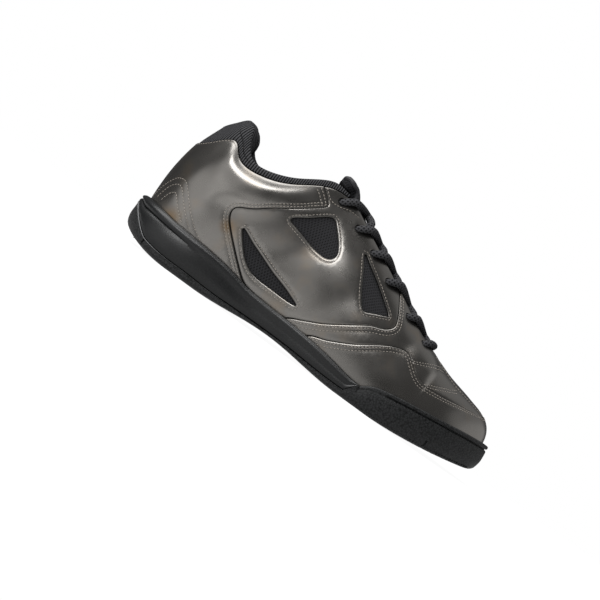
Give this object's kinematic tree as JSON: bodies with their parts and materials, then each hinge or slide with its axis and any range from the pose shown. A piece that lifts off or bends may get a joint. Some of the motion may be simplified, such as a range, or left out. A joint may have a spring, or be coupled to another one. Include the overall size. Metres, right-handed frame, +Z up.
{
  "type": "indoor soccer shoe",
  "caption": "Low right indoor soccer shoe: hollow upper with metallic leather panels and mesh windows, padded collar, tongue, laces, insole, foam midsole and rubber outsole.",
  "frame": {"origin": "on the floor under the middle of the shoe's overall length and width", "axes": "+X from heel to toe, -Y to the outer (lateral) side of this right shoe, +Z up from the floor"},
  "size_m": [0.292, 0.1016, 0.1229],
  "materials": {
    "outsole_rubber": "matte, finely stippled black rubber",
    "midsole_foam": "satin black moulded foam",
    "insole_cloth": "dull dark cloth",
    "lining_mesh": "dull charcoal mesh",
    "metallic_leather": "gunmetal metallic coated leather, soft gloss",
    "collar_textile": "dull black ribbed textile",
    "tongue_textile": "dull black mesh with a bound edge",
    "lace_cord": "dull charcoal braided cord"
  },
  "bodies": {
    "root": {"outsole": "outsole_rubber", "midsole": "midsole_foam", "insole": "insole_cloth", "upper": "lining_mesh", "toe_guard": "metallic_leather", "vamp_panel": "metallic_leather", "heel_panel": "metallic_leather", "quarter_lateral": "metallic_leather", "quarter_medial": "metallic_leather", "collar": "collar_textile", "tongue": "tongue_textile", "lace_bar": "lace_cord", "lace_crossing_1": "lace_cord", "lace_crossing_2": "lace_cord", "lace_crossing_3": "lace_cord", "lace_crossing_4": "lace_cord", "lace_crossing_5": "lace_cord"}
  },
  "joints": []
}
